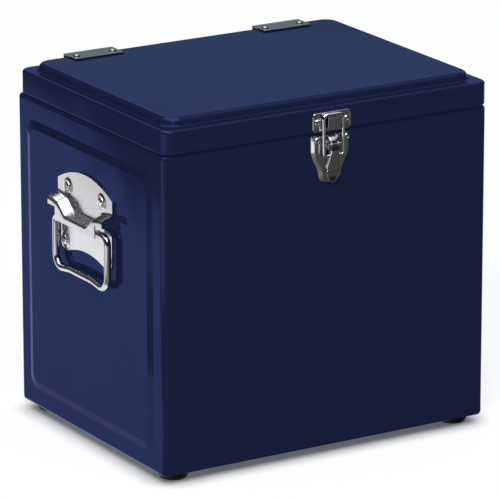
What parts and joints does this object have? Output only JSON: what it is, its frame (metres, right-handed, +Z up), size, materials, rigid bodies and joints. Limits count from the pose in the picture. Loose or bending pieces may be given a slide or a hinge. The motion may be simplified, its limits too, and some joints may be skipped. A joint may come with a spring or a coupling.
{
  "type": "insulated metal cool box",
  "caption": "Insulated painted-steel cool box with a stepped hinged lid, a chrome draw latch on the front, fold-down side handles and rubber feet.",
  "frame": {"origin": "on the floor, in the middle of the whole footprint (latch, hinges and handles included)", "axes": "+Z up, -Y towards the front (the latch side), +X towards the right side seen from the front"},
  "size_m": [0.392, 0.3006, 0.3571],
  "materials": {
    "painted_steel": "gloss enamel, navy blue",
    "foam": "closed-cell foam, matt",
    "liner_plastic": "moulded, light sheen",
    "rubber": "matt black",
    "latch_chrome": "bright plated pressed steel",
    "hinge_steel": "bright plated pressed steel",
    "handle_steel": "satin stainless"
  },
  "bodies": {
    "chest": {"body_shell": "painted_steel", "base_pan": "painted_steel", "body_insulation": "foam", "inner_liner": "liner_plastic", "rubber_foot_front_left": "rubber", "rubber_foot_back_left": "rubber", "rubber_foot_front_right": "rubber", "rubber_foot_back_right": "rubber", "foot_screws": "handle_steel", "hinge_body_leaf_left": "hinge_steel", "hinge_body_leaf_right": "hinge_steel", "hinge_pin_left": "hinge_steel", "hinge_pin_right": "hinge_steel", "hinge_body_rivets": "hinge_steel", "handle_back_plate_left": "handle_steel", "handle_front_plate_left": "handle_steel", "handle_screws_left": "handle_steel", "handle_nuts_left": "handle_steel", "handle_back_plate_right": "handle_steel", "handle_front_plate_right": "handle_steel", "handle_screws_right": "handle_steel", "handle_nuts_right": "handle_steel", "latch_base": "latch_chrome", "latch_base_rivets": "latch_chrome", "latch_pivot_pin": "latch_chrome"},
    "lid": {"lid_shell": "painted_steel", "lid_insulation": "foam", "lid_liner": "liner_plastic", "lid_gasket": "rubber", "hinge_lid_strap_left": "hinge_steel", "hinge_lid_strap_right": "hinge_steel", "hinge_lid_rivets": "hinge_steel", "latch_catch": "latch_chrome", "latch_catch_rivets": "latch_chrome"},
    "latch_lever": {"latch_lever": "latch_chrome"},
    "latch_loop": {"latch_loop": "latch_chrome"},
    "handle_bail_left": {"handle_bail_left": "handle_steel"},
    "handle_bail_right": {"handle_bail_right": "handle_steel"}
  },
  "joints": [
    {"name": "lid_hinge", "type": "hinge", "parent": "chest", "child": "lid", "pos_m": [0, 0.14672, 0.3213], "axis": [-1, 0, 0], "range_deg": [0, 105]},
    {"name": "latch_lever_pivot", "type": "hinge", "parent": "chest", "child": "latch_lever", "pos_m": [0.0013, -0.14597, 0.3095], "axis": [-1, 0, 0], "range_deg": [0, 150]},
    {"name": "latch_loop_pivot", "type": "hinge", "parent": "latch_lever", "child": "latch_loop", "pos_m": [0.0013, -0.14527, 0.2985], "axis": [-1, 0, 0], "range_deg": [-182, 0]},
    {"name": "handle_left_swing", "type": "hinge", "parent": "chest", "child": "handle_bail_left", "pos_m": [-0.1885, 0.00252, 0.222], "axis": [0, 1, 0], "range_deg": [0, 90]},
    {"name": "handle_right_swing", "type": "hinge", "parent": "chest", "child": "handle_bail_right", "pos_m": [0.1885, 0.00252, 0.222], "axis": [0, -1, 0], "range_deg": [0, 90]}
  ],
  "couplings": [
    {"joint": "latch_loop_pivot", "follows": "latch_lever_pivot", "ratio": -1.21}
  ]
}
